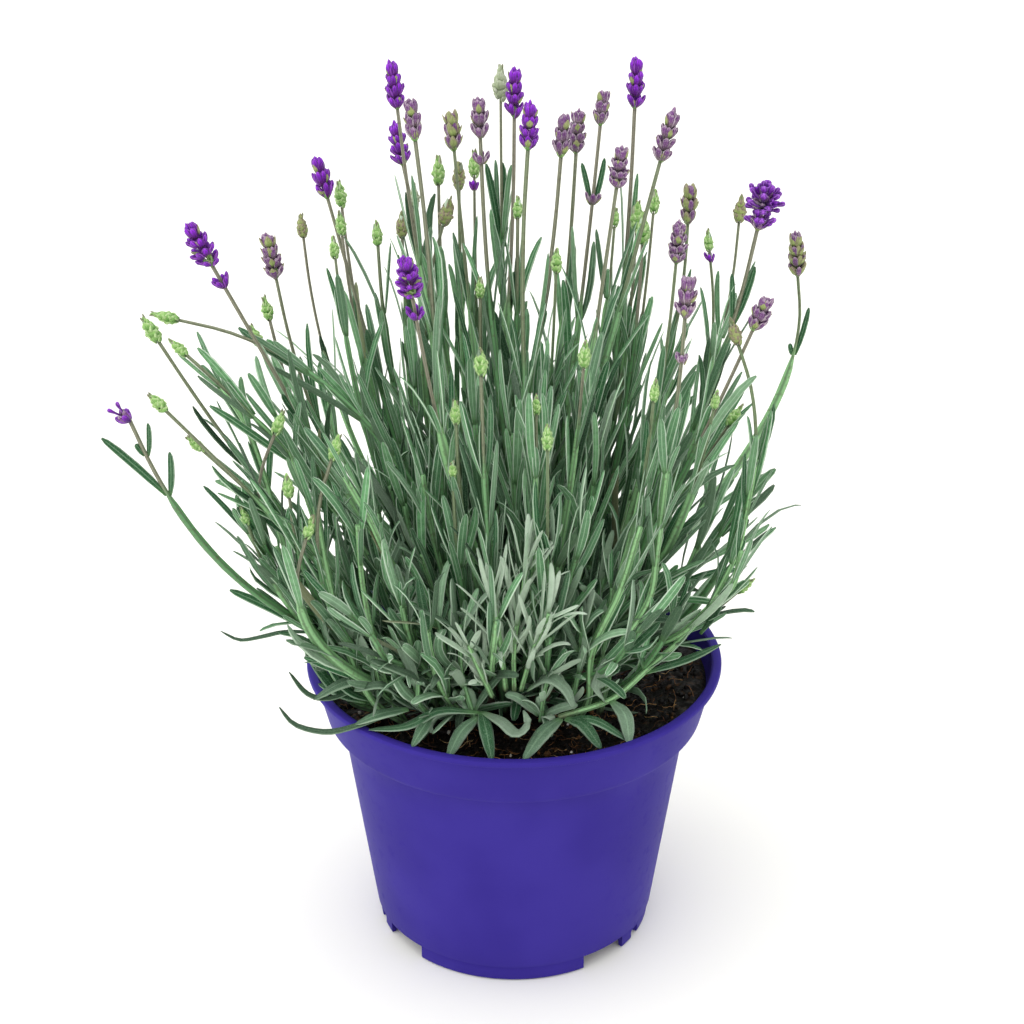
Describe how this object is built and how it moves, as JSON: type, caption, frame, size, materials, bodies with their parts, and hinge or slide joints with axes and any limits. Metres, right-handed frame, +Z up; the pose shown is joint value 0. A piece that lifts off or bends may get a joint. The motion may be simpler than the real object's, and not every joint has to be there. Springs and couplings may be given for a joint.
{
  "type": "potted lavender",
  "caption": "Bushy lavender plant with slender grey-green leaves and purple flower spikes on long stems, growing in a tapered plastic nursery pot full of soil.",
  "frame": {"origin": "middle of the pot's base, on the surface that the pot stands on", "axes": "+Z up along the pot's axis, -Y towards the front of the plant, +X to its right"},
  "size_m": [0.2664, 0.2207, 0.3591],
  "materials": {
    "pot_plastic": "satin moulded blue-violet plastic",
    "soil_peat": "matt, crumbly dark peat compost with fibres",
    "bark": "matt, flaking grey-brown bark",
    "stem_green": "satin green stem, brownish purple near the flowers",
    "leaf_grey_green": "matt, finely felted grey-green leaf",
    "petal_violet": "matt violet petals and calyces",
    "calyx_grey_purple": "matt, felted grey-purple buds with olive bracts",
    "petal_open": "matt deep violet open flowers"
  },
  "bodies": {
    "root": {"pot": "pot_plastic", "soil": "soil_peat", "woody_crown": "bark", "flower_stem_01": "stem_green", "flower_stem_02": "stem_green", "flower_stem_03": "stem_green", "flower_stem_04": "stem_green", "flower_stem_05": "stem_green", "flower_stem_06": "stem_green", "flower_stem_07": "stem_green", "flower_stem_08": "stem_green", "flower_stem_09": "stem_green", "flower_stem_10": "stem_green", "flower_stem_11": "stem_green", "flower_stem_12": "stem_green", "flower_stem_13": "stem_green", "flower_stem_14": "stem_green", "flower_stem_15": "stem_green", "flower_stem_16": "stem_green", "flower_stem_17": "stem_green", "flower_stem_18": "stem_green", "flower_stem_19": "stem_green", "flower_stem_20": "stem_green", "flower_stem_21": "stem_green", "flower_stem_22": "stem_green", "flower_stem_23": "stem_green", "flower_stem_24": "stem_green", "flower_spike_01": "calyx_grey_purple", "flower_spike_02": "petal_violet", "flower_spike_03": "calyx_grey_purple", "flower_spike_04": "petal_violet", "flower_spike_05": "petal_violet", "flower_spike_06": "petal_violet", "flower_spike_07": "calyx_grey_purple", "flower_spike_08": "petal_violet", "flower_spike_09": "calyx_grey_purple", "flower_spike_10": "calyx_grey_purple", "flower_spike_11": "petal_violet", "flower_spike_12": "petal_violet", "flower_spike_13": "calyx_grey_purple", "flower_spike_14": "calyx_grey_purple", "flower_spike_15": "calyx_grey_purple", "flower_spike_16": "petal_violet", "flower_spike_17": "calyx_grey_purple", "flower_spike_18": "calyx_grey_purple", "flower_spike_19": "calyx_grey_purple", "flower_spike_20": "calyx_grey_purple", "flower_spike_21": "calyx_grey_purple", "flower_spike_22": "petal_open", "flower_spike_23": "calyx_grey_purple", "flower_spike_24": "calyx_grey_purple", "leafy_shoot_1": "leaf_grey_green", "leafy_shoot_2": "leaf_grey_green", "leafy_shoot_3": "leaf_grey_green", "leafy_shoot_4": "leaf_grey_green", "leafy_shoot_5": "leaf_grey_green", "leafy_shoot_6": "leaf_grey_green", "leafy_shoot_7": "leaf_grey_green", "leafy_shoot_8": "leaf_grey_green", "leafy_shoot_9": "leaf_grey_green"}
  },
  "joints": []
}
